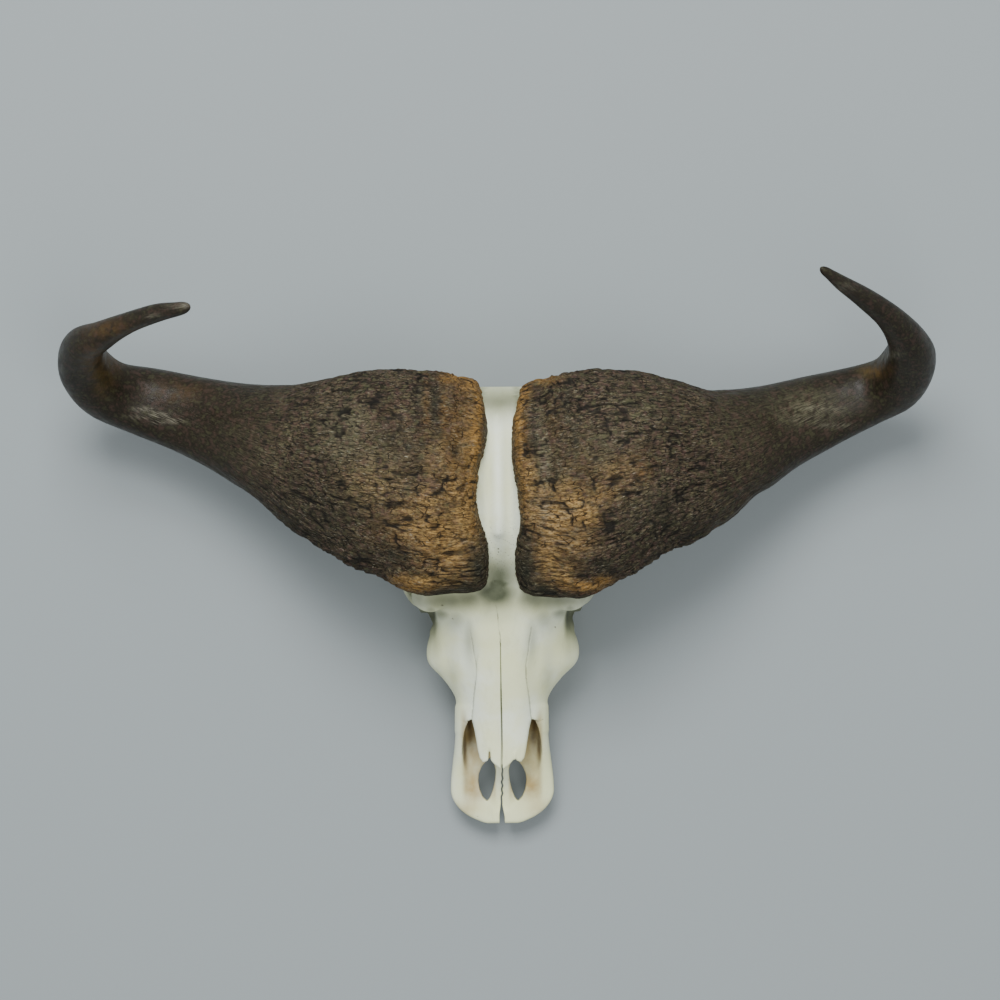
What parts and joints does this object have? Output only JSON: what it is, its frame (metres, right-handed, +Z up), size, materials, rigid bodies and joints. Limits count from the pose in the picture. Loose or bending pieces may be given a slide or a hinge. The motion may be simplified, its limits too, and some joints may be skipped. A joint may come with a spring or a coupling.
{
  "type": "cape buffalo skull",
  "caption": "Bleached buffalo skull that lies face up on its cheek teeth, with broad rough horn bosses and hooked horns, no lower jaw.",
  "frame": {"origin": "middle of the floor area that the whole skull with its horns spans, on the surface it rests on", "axes": "+X to the right of the face as seen from above, along the spread of the horns; +Y from the muzzle to the poll; +Z up, out of the face"},
  "size_m": [0.9318, 0.5846, 0.351],
  "materials": {
    "bone": "dry bleached bone, warm ivory white, matte",
    "horn": "dark brown horn, rough and fibrous on the bosses, satin on the hooks",
    "tooth": "stained tooth enamel, worn flat on the chewing face"
  },
  "bodies": {
    "root": {"skull": "bone", "left_horn": "horn", "right_horn": "horn", "left_premolar_2": "tooth", "left_premolar_3": "tooth", "left_premolar_4": "tooth", "left_molar_1": "tooth", "left_molar_2": "tooth", "left_molar_3": "tooth", "right_premolar_2": "tooth", "right_premolar_3": "tooth", "right_premolar_4": "tooth", "right_molar_1": "tooth", "right_molar_2": "tooth", "right_molar_3": "tooth"}
  },
  "joints": []
}
